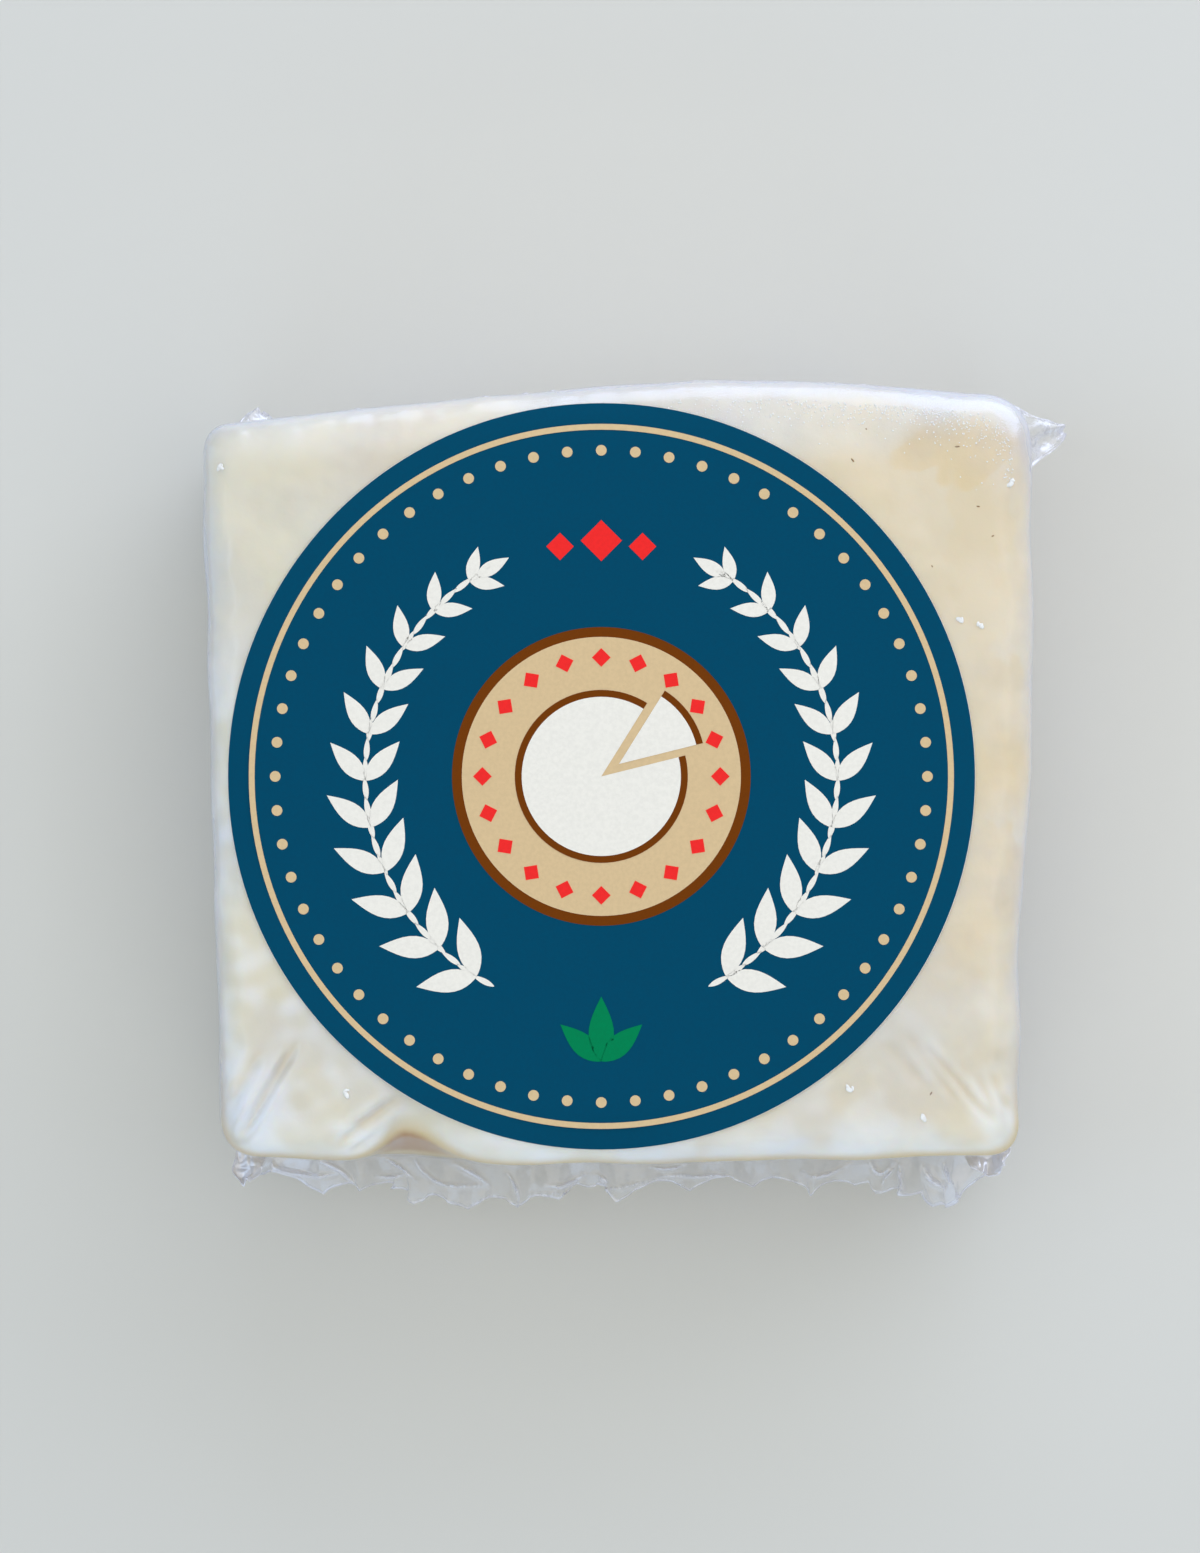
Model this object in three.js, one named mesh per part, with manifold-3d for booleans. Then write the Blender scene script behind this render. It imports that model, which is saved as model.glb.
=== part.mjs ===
// A block of cheddar sealed in clear shrink film, lying flat with its round label up.
// Millimetres, +Z up. +Y runs to the block's back edge and +X to its right.
// The origin is on the underside, in the middle of the block.

import * as THREE from "three";
import { mergeVertices } from "three/addons/utils/BufferGeometryUtils.js";
import Module from "manifold-3d";

const wasm = await Module();
wasm.setup();

// Driving dimensions of the block
const THICKNESS = 28.6;
const HALF_SIZE = 40; // nominal, so that a share of the outline reads as millimetres of inset
const TOP_ROUND = 3.4;
const BASE_ROUND = 2.6;
const SIDE_BULGE = 0.35;
const CROWN = 0.3; // how far the middle of the top stands above its rim
const FACE_WAVES = { height: 0.12, across: 11, back: 13, slant: 17 }; // in the cut face

// The block's four corners, and how far its sides are rounded back from each
const CORNERS = {
  frontLeft: { x: -40.0, y: -38.8, round: 4.4 },
  frontRight: { x: 41.0, y: -38.9, round: 3.6 },
  backRight: { x: 42.1, y: 38.3, round: 6.6 },
  backLeft: { x: -42.2, y: 35.2, round: 3.4 },
};

// Where the sides bend between the corners
const FRONT_BELLY = { x: -6.0, y: -39.9 };
const LEFT_MIDDLE = { x: -41.1, y: -1.5 };
const RIGHT_WAIST = { x: 41.0, y: -17.0 };
const RIGHT_SWELL = { x: 42.3, y: 1.7 };
const BACK_CREST = { x: 12.5, y: 39.9 };
const BACK_RISE = { x: -14.0, y: 38.0 };

// A chip out of the front edge, deepest at the top
const CHIP = { x: -20.6, halfWidth: 4.4, depth: 2.5, drop: 0.9, bottom: 12, inner: -28, outer: -38 };

// The round paper label
const LABEL = { x: -1.6, y: -0.4, radius: 38.1, thickness: 0.25, gap: 0.15 };

// The film's sealed end stands out of the front side as a ruffled fin.
// Each tip is a place along X and how far the fin reaches out there.
const FIN_HEIGHT = 11;
const FIN_THICKNESS = 0.7;
const FIN_SINK = 1.6; // how deep a fin or ear is rooted in the block
const FIN_DROOP = 1.8;
const FIN_SAG = { share: 0.22, most: 1.7 }; // how far the edge falls back between two tips
const FIN_WAVES = [
  { length: 9.6, height: 1.1, start: 0.6 },
  { length: 4.4, height: 0.5, start: 1.9 },
];
const FIN_TIPS = [
  [-38.6, 3.6],
  [-31.8, 5.3],
  [-27.0, 4.6],
  [-21.1, 5.9],
  [-16.0, 6.4],
  [-10.4, 6.2],
  [-6.2, 5.2],
  [1.3, 5.5],
  [8.0, 4.4],
  [14.1, 4.3],
  [20.9, 5.3],
  [24.9, 4.4],
  [28.0, 5.3],
  [34.0, 7.5],
  [37.2, 6.2],
  [40.4, 3.4],
];

// The other sealed end is folded down on the back side as a low crimp.
const CRIMP = { left: -34, right: 36, height: 13.5, reach: 1.0, droop: 1.2, wave: 0.25, length: 3.6 };

// The bag's four corners are left standing as ears: a root in the block, a bend, a tip and two widths.
const EARS = [
  { root: [40.4, 35.0, 13.6], bend: [43.9, 34.9, 13.8], tip: [47.0, 36.4, 12.0], widths: [7.4, 2.6] },
  { root: [-37.9, 34.2, 13.4], bend: [-37.9, 37.0, 13.0], tip: [-37.6, 38.1, 12.2], widths: [4.4, 1.6] },
  { root: [-37.4, -37.4, 11.4], bend: [-39.2, -41.0, 11.8], tip: [-38.9, -43.0, 14.0], widths: [3.8, 2.4] },
  { root: [37.6, -37.2, 11.4], bend: [39.2, -39.8, 11.6], tip: [40.2, -41.9, 13.4], widths: [5.0, 4.6] },
];
const EAR_WAVE = 0.45;

// How finely curves are cut into flats
const CURVE_STEPS = 6; // flats to a rounded corner, and between two bends of a side
const ARC_STEPS = 4;
const TOP_RINGS = [0.8, 0.58, 0.36, 0.15];
const LABEL_RINGS = [0.2, 0.42, 0.62, 0.8, 0.915, 0.945, 0.975];
const LABEL_STEPS = 72;
const FIN_STEPS = { along: 84, out: 5 };
const CRIMP_STEPS = { along: 44, out: 2 };
const EAR_STEPS = { along: 6, out: 6 };
const HALVINGS = 24; // steps in the search for a point of the outline

// A number's smooth rise from 0 at low to 1 at high.
function rise(value, low, high) {
  return THREE.MathUtils.smoothstep(value, low, high);
}

// The block seen from above, anticlockwise from its front left corner.
function blockOutline() {
  const { frontLeft, frontRight, backRight, backLeft } = CORNERS;
  const bends = (...points) => points.map((p) => new THREE.Vector2(p.x, p.y));
  const outline = new THREE.Path();
  outline.moveTo(frontLeft.x + frontLeft.round, frontLeft.y);
  outline.splineThru(bends(FRONT_BELLY, { x: frontRight.x - frontRight.round, y: frontRight.y }));
  outline.quadraticCurveTo(frontRight.x, frontRight.y, frontRight.x, frontRight.y + frontRight.round);
  outline.splineThru(bends(RIGHT_WAIST, RIGHT_SWELL, { x: backRight.x, y: backRight.y - backRight.round }));
  outline.quadraticCurveTo(backRight.x, backRight.y, backRight.x - backRight.round, backRight.y);
  outline.splineThru(bends(BACK_CREST, BACK_RISE, { x: backLeft.x + backLeft.round, y: backLeft.y }));
  outline.quadraticCurveTo(backLeft.x, backLeft.y, backLeft.x, backLeft.y - backLeft.round);
  outline.splineThru(bends(LEFT_MIDDLE, { x: frontLeft.x, y: frontLeft.y + frontLeft.round }));
  outline.quadraticCurveTo(frontLeft.x, frontLeft.y, frontLeft.x + frontLeft.round, frontLeft.y);
  return outline.getPoints(CURVE_STEPS);
}

const OUTLINE = blockOutline();
const OUTLINE_STEPS = OUTLINE.length - 1;

// How far (x, y) lies from the middle to the outline: 0 in the middle, 1 on the outline.
function outlineShare(x, y) {
  for (let i = 0; i < OUTLINE_STEPS; i++) {
    const a = OUTLINE[i];
    const b = OUTLINE[i + 1];
    const area = a.x * b.y - a.y * b.x;
    const alongA = (x * b.y - y * b.x) / area;
    const alongB = (a.x * y - a.y * x) / area;
    if (alongA >= 0 && alongB >= 0) return alongA + alongB;
  }
  return 0;
}

// How much of the chip is felt at a point of the block.
function chipShare(x, y, z) {
  const across = Math.exp(-(((x - CHIP.x) / CHIP.halfWidth) ** 2));
  return across * rise(z, CHIP.bottom, THICKNESS) * rise(-y, -CHIP.inner, -CHIP.outer);
}

// The cut face is a little crowned and wavy, fading out to its rim.
function topRelief(x, y, share) {
  const { height, across, back, slant } = FACE_WAVES;
  const waves = Math.cos(x / across - 1) * Math.cos(y / back) + Math.sin((x + y) / slant);
  return (CROWN + height * waves) * (1 - share * share);
}

// Height of the top at (x, y), with its rounded rim.
function topHeight(x, y) {
  const share = Math.min(outlineShare(x, y), 1);
  const into = Math.max(TOP_ROUND - (1 - share) * HALF_SIZE, 0);
  const fall = TOP_ROUND - Math.sqrt(Math.max(TOP_ROUND ** 2 - into ** 2, 0));
  return THICKNESS - fall + topRelief(x, y, share);
}

// The block's section from the middle of its underside round to the middle of its top.
function blockProfile() {
  const points = [new THREE.Vector2(0, 0)];
  const arc = (round, z, from) => {
    for (let i = 0; i <= ARC_STEPS; i++) {
      const turn = from + ((i / ARC_STEPS) * Math.PI) / 2;
      points.push(new THREE.Vector2(HALF_SIZE - round + round * Math.cos(turn), z + round * Math.sin(turn)));
    }
  };
  arc(BASE_ROUND, BASE_ROUND, -Math.PI / 2);
  points.push(new THREE.Vector2(HALF_SIZE + SIDE_BULGE, THICKNESS / 2));
  arc(TOP_ROUND, THICKNESS - TOP_ROUND, 0);
  for (const share of TOP_RINGS) points.push(new THREE.Vector2(share * HALF_SIZE, THICKNESS));
  points.push(new THREE.Vector2(0, THICKNESS));
  return points;
}

// A turned shape, stretched from a circle to the block's outline, with the relief and the chip added.
function blockGeometry() {
  const profile = blockProfile();
  const geometry = new THREE.LatheGeometry(profile, OUTLINE_STEPS);
  const position = geometry.getAttribute("position");
  for (let i = 0; i < position.count; i++) {
    const corner = OUTLINE[Math.floor(i / profile.length)];
    const { x: out, y: z } = profile[i % profile.length];
    const share = out / HALF_SIZE;
    const x = corner.x * share;
    const y = corner.y * share;
    const chip = chipShare(x, y, z);
    const relief = z > THICKNESS / 2 ? topRelief(x, y, Math.min(share, 1)) : 0;
    position.setXYZ(i, x, y + CHIP.depth * chip, z + relief - CHIP.drop * chip);
  }
  return geometry;
}

// A thin plate placed by a function of how far along it, out from its root and through it a point lies.
// The three ways make a right-handed set, so that the plate's faces look outwards.
function plateGeometry(steps, place) {
  const geometry = new THREE.BoxGeometry(1, 1, 1, steps.along, steps.out, 1);
  const position = geometry.getAttribute("position");
  for (let i = 0; i < position.count; i++) {
    const spot = place(position.getX(i) + 0.5, position.getY(i) + 0.5, position.getZ(i));
    position.setXYZ(i, spot.x, spot.y, spot.z);
  }
  return geometry;
}

// Where the line through x, parallel to Y, leaves the outline: at the front for -1, at the back for 1.
function crossing(x, sign) {
  let inside = 0;
  let outside = sign * 2 * HALF_SIZE;
  for (let i = 0; i < HALVINGS; i++) {
    const middle = (inside + outside) / 2;
    if (outlineShare(x, middle) < 1) inside = middle;
    else outside = middle;
  }
  return inside;
}

// How far the fin reaches out at x: straight from tip to tip, less a sag between them.
function finReach(x) {
  const next = Math.max(FIN_TIPS.findIndex(([place]) => place >= x), 1);
  const [fromX, from] = FIN_TIPS[next - 1];
  const [toX, to] = FIN_TIPS[next];
  const along = (x - fromX) / (toX - fromX);
  const sag = Math.min(FIN_SAG.share * (toX - fromX), FIN_SAG.most);
  return THREE.MathUtils.lerp(from, to, along) - sag * Math.sin(Math.PI * along);
}

// The front fin, ruffled more and more towards its edge.
function finGeometry() {
  const left = FIN_TIPS[0][0];
  const right = FIN_TIPS[FIN_TIPS.length - 1][0];
  return plateGeometry(FIN_STEPS, (along, out, through) => {
    const x = THREE.MathUtils.lerp(right, left, along);
    const y = crossing(x, -1) + FIN_SINK - out * (finReach(x) + FIN_SINK);
    let z = FIN_HEIGHT - FIN_DROOP * out * out + through * FIN_THICKNESS;
    for (const { length, height, start } of FIN_WAVES) {
      z += out * height * Math.sin((2 * Math.PI * x) / length + start);
    }
    return { x, y, z };
  });
}

// The back crimp, pleated along its edge.
function crimpGeometry() {
  return plateGeometry(CRIMP_STEPS, (along, out, through) => {
    const x = THREE.MathUtils.lerp(CRIMP.left, CRIMP.right, along);
    const wave = CRIMP.wave * Math.sin((2 * Math.PI * x) / CRIMP.length);
    const y = crossing(x, 1) - FIN_SINK + out * (CRIMP.reach + FIN_SINK + wave);
    const z = CRIMP.height - CRIMP.droop * out * out + out * wave + through * FIN_THICKNESS;
    return { x, y, z };
  });
}

// One ear, tapering along its bent middle line.
function earGeometry({ root, bend, tip, widths }) {
  const line = new THREE.QuadraticBezierCurve3(
    new THREE.Vector3(...root),
    new THREE.Vector3(...bend),
    new THREE.Vector3(...tip),
  );
  const up = new THREE.Vector3(0, 0, 1);
  return plateGeometry(EAR_STEPS, (along, out, through) => {
    const heading = line.getTangent(out);
    const side = new THREE.Vector3().crossVectors(heading, up).normalize();
    const face = new THREE.Vector3().crossVectors(side, heading);
    const width = THREE.MathUtils.lerp(widths[0], widths[1], rise(out, 0, 1));
    const wave = EAR_WAVE * out * Math.sin(along * 2 * Math.PI);
    return line
      .getPoint(out)
      .addScaledVector(side, (along - 0.5) * width)
      .addScaledVector(face, through * FIN_THICKNESS + wave);
  });
}

// A disc that lies on the cut face and follows it down over the rounded rim.
function labelGeometry() {
  const rings = [0, ...LABEL_RINGS, 1].map((share) => share * LABEL.radius);
  const profile = rings.map((out) => new THREE.Vector2(out, 0));
  profile.push(...rings.toReversed().map((out) => new THREE.Vector2(out, LABEL.thickness)));
  const geometry = new THREE.LatheGeometry(profile, LABEL_STEPS).rotateX(Math.PI / 2);
  geometry.translate(LABEL.x, LABEL.y, LABEL.gap);
  const position = geometry.getAttribute("position");
  for (let i = 0; i < position.count; i++) {
    position.setZ(i, position.getZ(i) + topHeight(position.getX(i), position.getY(i)));
  }
  return geometry;
}

// A closed geometry as a solid that can be joined to others.
function solidOf(geometry) {
  const bare = geometry.clone();
  bare.deleteAttribute("normal");
  bare.deleteAttribute("uv");
  const merged = mergeVertices(bare, 1e-4);
  return new wasm.Manifold(
    new wasm.Mesh({
      numProp: 3,
      vertProperties: merged.getAttribute("position").array,
      triVerts: new Uint32Array(merged.index.array),
    }),
  );
}

// A solid as a geometry again.
function geometryOf(solid) {
  const mesh = solid.getMesh();
  const geometry = new THREE.BufferGeometry();
  geometry.setAttribute("position", new THREE.BufferAttribute(mesh.vertProperties, 3));
  geometry.setIndex(new THREE.BufferAttribute(mesh.triVerts, 1));
  geometry.computeVertexNormals();
  return geometry;
}

// The sealed bag and what it holds, as one solid: only the film's ends stand clear of the cheese.
function sealedBlock() {
  let solid = solidOf(blockGeometry());
  for (const film of [finGeometry(), crimpGeometry(), ...EARS.map(earGeometry)]) {
    solid = solid.add(solidOf(film));
  }
  const material = new THREE.MeshStandardMaterial({ color: 0xdbd0b1, roughness: 0.25, metalness: 0 });
  const mesh = new THREE.Mesh(geometryOf(solid), material);
  mesh.name = "sealed_cheddar";
  return mesh;
}

function label() {
  const material = new THREE.MeshStandardMaterial({ color: 0x004b6b, roughness: 0.5, metalness: 0 });
  const mesh = new THREE.Mesh(labelGeometry(), material);
  mesh.name = "label";
  return mesh;
}

const pack = new THREE.Group();
pack.add(sealedBlock(), label());

export default pack;
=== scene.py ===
"""A square block of cheddar sealed in clear shrink film, with a round printed label on top.

Sizes are in millimetres, in the frame's own axes: +X right, +Y to the back edge, +Z up, z = 0 on the table.
Meshes are written in metres, each with its object at the origin.
"""

import math

import bpy
import numpy as np
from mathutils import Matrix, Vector


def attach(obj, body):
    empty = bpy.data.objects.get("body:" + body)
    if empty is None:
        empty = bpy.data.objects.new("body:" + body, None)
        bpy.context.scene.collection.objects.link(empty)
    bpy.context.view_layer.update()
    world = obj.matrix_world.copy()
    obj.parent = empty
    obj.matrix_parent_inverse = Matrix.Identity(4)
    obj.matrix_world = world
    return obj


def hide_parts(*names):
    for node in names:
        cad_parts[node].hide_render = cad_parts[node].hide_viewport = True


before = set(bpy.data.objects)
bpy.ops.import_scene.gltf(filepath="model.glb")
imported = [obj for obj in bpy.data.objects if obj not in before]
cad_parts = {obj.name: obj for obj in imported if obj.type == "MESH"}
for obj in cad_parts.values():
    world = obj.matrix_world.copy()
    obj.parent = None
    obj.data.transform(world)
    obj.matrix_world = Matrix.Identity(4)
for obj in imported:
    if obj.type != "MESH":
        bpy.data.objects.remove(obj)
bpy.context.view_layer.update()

MM = 0.001

# The block
THICKNESS = 28.6
HALF_SIZE = 40.0  # nominal, so that a share of the outline reads as millimetres of inset
TOP_ROUND = 3.4
RIM_WIDE, RIM_POWER = 5.2, 2.5  # the top's roll-off eases in over this width, as a superellipse
BASE_ROUND = 2.6
SIDE_BULGE = 0.35
CROWN = 0.3
FACE_WAVE, WAVE_ACROSS, WAVE_BACK, WAVE_SLANT = 0.12, 11.0, 13.0, 17.0

# Its corners, with how far the sides are rounded back from each, and where the sides bend between them
FRONT_LEFT, FRONT_LEFT_ROUND = (-40.6, -39.5), 4.4
FRONT_RIGHT, FRONT_RIGHT_ROUND = (41.3, -39.2), 3.6
BACK_RIGHT, BACK_RIGHT_ROUND = (42.5, 38.9), 6.2
BACK_LEFT, BACK_LEFT_ROUND = (-42.4, 35.8), 3.4
FRONT_BELLY = (-6.0, -40.2)
RIGHT_WAIST = (41.2, -17.0)
RIGHT_SWELL = (42.5, 1.7)
BACK_CREST = (12.5, 40.2)
BACK_RISE = (-14.0, 38.4)
LEFT_MIDDLE = (-41.5, -1.5)

# The chip out of the front edge
CHIP_X, CHIP_LEFT_WIDTH, CHIP_RIGHT_WIDTH, CHIP_BOTTOM = -21.6, 3.2, 4.8, 12.0
CHIP_DEPTH, CHIP_DROP = 2.7, 1.1
CHIP_INNER, CHIP_OUTER = -29.5, -38.6
CHIP_BRIDGED = 0.45  # how much of the chip's depth the film follows

# The film
FILM_LIFT = 0.10  # above the cheese
FIN_HEIGHT, FIN_DROOP, FIN_SINK = 11.0, 1.8, 1.6
FIN_FLARE, FIN_PLY = 1.1, 0.05  # half the gap between the plies at the root and at the seal
FIN_GRID, CRIMP_GRID, EAR_GRID = (520, 36), (240, 8), (64, 64)  # divisions along and out
# The tips of the fin's edge: how far along the front, and how far out
FIN_TIPS = [
    (-38.6, 3.6), (-31.8, 5.3), (-27.0, 4.6), (-21.1, 5.9), (-16.0, 6.4), (-10.4, 6.2),
    (-6.2, 5.2), (1.3, 5.5), (8.0, 4.4), (14.1, 4.3), (20.9, 5.3), (24.9, 4.4),
    (28.0, 5.3), (34.0, 7.5), (37.2, 6.2), (40.4, 3.4),
]
FIN_SAG_SHARE, FIN_SAG_MOST = 0.22, 1.7
CRIMP_LEFT, CRIMP_RIGHT, CRIMP_HEIGHT, CRIMP_REACH = -34.0, 36.0, 13.5, 1.0
CRIMP_DROOP, CRIMP_WAVE, CRIMP_LENGTH = 1.2, 0.25, 3.6

# The label
LABEL_AT, LABEL_RADIUS = (-1.6, -0.4), 38.1
LABEL_LIFT, LABEL_PAPER, LABEL_INK = 0.15, 0.12, 0.03

# The photograph's frame
FRAME_WIDE = 1200
PIXEL = 0.1019  # millimetres at the top face
VIEW_CENTRE = (-1.73, -0.41)
CAMERA_DISTANCE = 450.0
SENSOR = 36.0


def mix(a, b, share):
    return a + (b - a) * share


def rise(value, low, high):
    """0 up to low, 1 from high, and smooth between them."""
    t = np.clip((value - low) / (high - low), 0.0, 1.0)
    return t * t * (3.0 - 2.0 * t)


def bell(value):
    """1 at 0, falling smoothly away to both sides."""
    return np.exp(-(value**2))


def ripples(places, length, seed, count=20):
    """Smooth random waves of about one length, mostly between -1 and 1."""
    draw = np.random.default_rng(seed)
    ways = draw.normal(size=(count, 3))
    ways *= 2 * math.pi / length * draw.uniform(0.7, 1.4, (count, 1)) / np.linalg.norm(ways, axis=1)[:, None]
    return np.sin(places @ ways.T + draw.uniform(0, 2 * math.pi, count)).sum(1) / math.sqrt(count)


# The block's outline

def side_through(*points, steps=40):
    """A side of the block: a Catmull-Rom curve through its points, without the last of them."""
    ends = [np.array(p) for p in (points[0], *points, points[-1])]
    t = (np.arange(steps) / steps)[:, None]
    runs = [
        b + (c - a) * t / 2 + (2 * a - 5 * b + 4 * c - d) * t**2 / 2 + (3 * b - a - 3 * c + d) * t**3 / 2
        for a, b, c, d in zip(ends, ends[1:], ends[2:], ends[3:])
    ]
    return np.concatenate(runs)


def rounded_corner(start, corner, end, steps=30):
    t = (np.arange(steps) / steps)[:, None]
    start, corner, end = (np.array(p) for p in (start, corner, end))
    return start * (1 - t) ** 2 + corner * 2 * t * (1 - t) + end * t**2


def block_outline():
    """The block seen from above, anticlockwise from its front left corner."""
    front_start = (FRONT_LEFT[0] + FRONT_LEFT_ROUND, FRONT_LEFT[1])
    front_end = (FRONT_RIGHT[0] - FRONT_RIGHT_ROUND, FRONT_RIGHT[1])
    right_start = (FRONT_RIGHT[0], FRONT_RIGHT[1] + FRONT_RIGHT_ROUND)
    right_end = (BACK_RIGHT[0], BACK_RIGHT[1] - BACK_RIGHT_ROUND)
    back_start = (BACK_RIGHT[0] - BACK_RIGHT_ROUND, BACK_RIGHT[1])
    back_end = (BACK_LEFT[0] + BACK_LEFT_ROUND, BACK_LEFT[1])
    left_start = (BACK_LEFT[0], BACK_LEFT[1] - BACK_LEFT_ROUND)
    left_end = (FRONT_LEFT[0], FRONT_LEFT[1] + FRONT_LEFT_ROUND)
    return np.concatenate([
        side_through(front_start, FRONT_BELLY, front_end),
        rounded_corner(front_end, FRONT_RIGHT, right_start),
        side_through(right_start, RIGHT_WAIST, RIGHT_SWELL, right_end),
        rounded_corner(right_end, BACK_RIGHT, back_start),
        side_through(back_start, BACK_CREST, BACK_RISE, back_end),
        rounded_corner(back_end, BACK_LEFT, left_start),
        side_through(left_start, LEFT_MIDDLE, left_end),
        rounded_corner(left_end, FRONT_LEFT, front_start),
    ])


OUTLINE = block_outline()
CLOSED = np.vstack([OUTLINE, OUTLINE[:1]])
ALONG = np.concatenate([[0.0], np.cumsum(np.linalg.norm(np.diff(CLOSED, axis=0), axis=1))])
ANGLES = np.arctan2(OUTLINE[:, 1], OUTLINE[:, 0])
RADII = np.hypot(OUTLINE[:, 0], OUTLINE[:, 1])


def outline_at(turn):
    """Points of the outline at shares of the way round it."""
    length = (turn % 1.0) * ALONG[-1]
    return np.interp(length, ALONG, CLOSED[:, 0]), np.interp(length, ALONG, CLOSED[:, 1])


def outline_share(x, y):
    """How far (x, y) lies from the middle to the outline: 0 in the middle, 1 on the outline."""
    return np.hypot(x, y) / np.interp(np.arctan2(y, x), ANGLES, RADII, period=2 * math.pi)


def inset_at(x, y):
    """Millimetres that (x, y) lies inside the outline."""
    return (1 - np.minimum(outline_share(x, y), 1.0)) * HALF_SIZE


def side_at(x, sign):
    """Where the line through x, parallel to Y, leaves the outline: at the front for -1, at the back for 1."""
    side = OUTLINE[OUTLINE[:, 1] * sign > HALF_SIZE / 2]
    side = side[np.argsort(side[:, 0])]
    return np.interp(x, side[:, 0], side[:, 1])


def top_relief(x, y, share):
    """The cut face is a little crowned and wavy, fading out to its rim."""
    waves = np.cos(x / WAVE_ACROSS - 1) * np.cos(y / WAVE_BACK) + np.sin((x + y) / WAVE_SLANT)
    return (CROWN + FACE_WAVE * waves) * (1 - share**2)


def rim_fall(inset):
    """How far the cut face has rolled off at this inset from the outline."""
    into = np.clip(1 - inset / RIM_WIDE, 0.0, 1.0)
    return TOP_ROUND * (1 - (1 - into**RIM_POWER) ** (1 / RIM_POWER))


def top_height(x, y):
    """Height of the cut face, with its rounded rim."""
    share = np.minimum(outline_share(x, y), 1.0)
    return THICKNESS - rim_fall((1 - share) * HALF_SIZE) + top_relief(x, y, share)


# Working on meshes

def deselect():
    bpy.ops.object.select_all(action="DESELECT")


def named(name):
    piece = bpy.context.object
    piece.name = piece.data.name = name
    return piece


def places_of(piece):
    """The piece's vertices, in millimetres."""
    flat = np.empty(len(piece.data.vertices) * 3, np.float32)
    piece.data.vertices.foreach_get("co", flat)
    return flat.reshape(-1, 3).astype(float) / MM


def normals_of(piece):
    flat = np.empty(len(piece.data.vertices) * 3, np.float32)
    piece.data.vertices.foreach_get("normal", flat)
    return flat.reshape(-1, 3).astype(float)


def put_places(piece, places):
    piece.data.vertices.foreach_set("co", (np.asarray(places) * MM).astype(np.float32).ravel())
    piece.data.update()


def recalculate_normals():
    bpy.ops.mesh.select_all(action="SELECT")
    bpy.ops.mesh.normals_make_consistent(inside=False)


def smooth(piece, degrees=180):
    deselect()
    piece.select_set(True)
    bpy.context.view_layer.objects.active = piece
    if degrees >= 180:
        bpy.ops.object.shade_smooth()
    else:
        bpy.ops.object.shade_smooth_by_angle(angle=math.radians(degrees))


def raise_rings(name, rings, around):
    """A disc extruded ring by ring: each ring is a radius and a height."""
    (radius, height) = rings[0]
    deselect()
    bpy.ops.mesh.primitive_circle_add(
        vertices=around, radius=radius * MM, fill_type="TRIFAN", location=(0, 0, height * MM)
    )
    piece = named(name)
    bpy.ops.object.transform_apply(location=True, rotation=False, scale=False)
    bpy.ops.object.mode_set(mode="EDIT")
    bpy.ops.mesh.select_all(action="SELECT")
    for next_radius, next_height in rings[1:]:
        step = (next_height - height) * MM
        bpy.ops.mesh.extrude_region_move(TRANSFORM_OT_translate={"value": (0, 0, step)})
        grow = next_radius / radius
        bpy.ops.transform.resize(value=(grow, grow, 1), center_override=(0, 0, next_height * MM))
        radius, height = next_radius, next_height
    recalculate_normals()
    bpy.ops.object.mode_set(mode="OBJECT")
    return piece


def two_plies(name, along, out):
    """A flat sheet with a second one extruded from it, joined round the rim: 1 mm along, out and up."""
    deselect()
    bpy.ops.mesh.primitive_grid_add(
        x_subdivisions=along, y_subdivisions=out, size=MM, location=(MM / 2, MM / 2, 0)
    )
    piece = named(name)
    bpy.ops.object.transform_apply(location=True, rotation=False, scale=False)
    bpy.ops.object.mode_set(mode="EDIT")
    bpy.ops.mesh.select_all(action="SELECT")
    bpy.ops.mesh.extrude_region_move(TRANSFORM_OT_translate={"value": (0, 0, MM)})
    bpy.ops.object.mode_set(mode="OBJECT")
    return piece


def turn_outwards(piece):
    deselect()
    piece.select_set(True)
    bpy.context.view_layer.objects.active = piece
    bpy.ops.object.mode_set(mode="EDIT")
    recalculate_normals()
    bpy.ops.object.mode_set(mode="OBJECT")


# The cheese and the film that lies on it

AROUND = 960
FACE_STEP, LABEL_STEP = 0.008, 0.03  # between rings of the cut face, outside and under the label
LABEL_SHARE, MIDDLE_SHARE = 0.68, 0.5  # where the label covers every ring, and where the rings thin out


def block_rings():
    """The block's section, as radii of a round block and heights."""
    rings = [(2.0, 0.0), (20.0, 0.0), (33.0, 0.0)]
    for turn in np.linspace(-math.pi / 2, 0, 8):
        rings.append((HALF_SIZE - BASE_ROUND * (1 - math.cos(turn)), BASE_ROUND * (1 + math.sin(turn))))
    for share in np.linspace(0, 1, 28)[1:-1]:
        height = mix(BASE_ROUND, THICKNESS - TOP_ROUND, share)
        rings.append((HALF_SIZE + SIDE_BULGE * math.sin(math.pi * share), height))
    for inset in RIM_WIDE * np.linspace(0, 1, 18) ** 2:
        rings.append((HALF_SIZE - inset, THICKNESS - rim_fall(inset)))
    bare = np.arange(1 - RIM_WIDE / HALF_SIZE - FACE_STEP, LABEL_SHARE, -FACE_STEP)
    covered = np.arange(LABEL_SHARE, MIDDLE_SHARE, -LABEL_STEP)
    for share in (*bare, *covered, 0.42, 0.3, 0.18, 0.06):
        rings.append((HALF_SIZE * share, THICKNESS))
    return rings


def chip_across(x):
    """1 in the middle of the chip, falling away more steeply on its left."""
    return bell((x - CHIP_X) / np.where(x < CHIP_X, CHIP_LEFT_WIDTH, CHIP_RIGHT_WIDTH))


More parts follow.
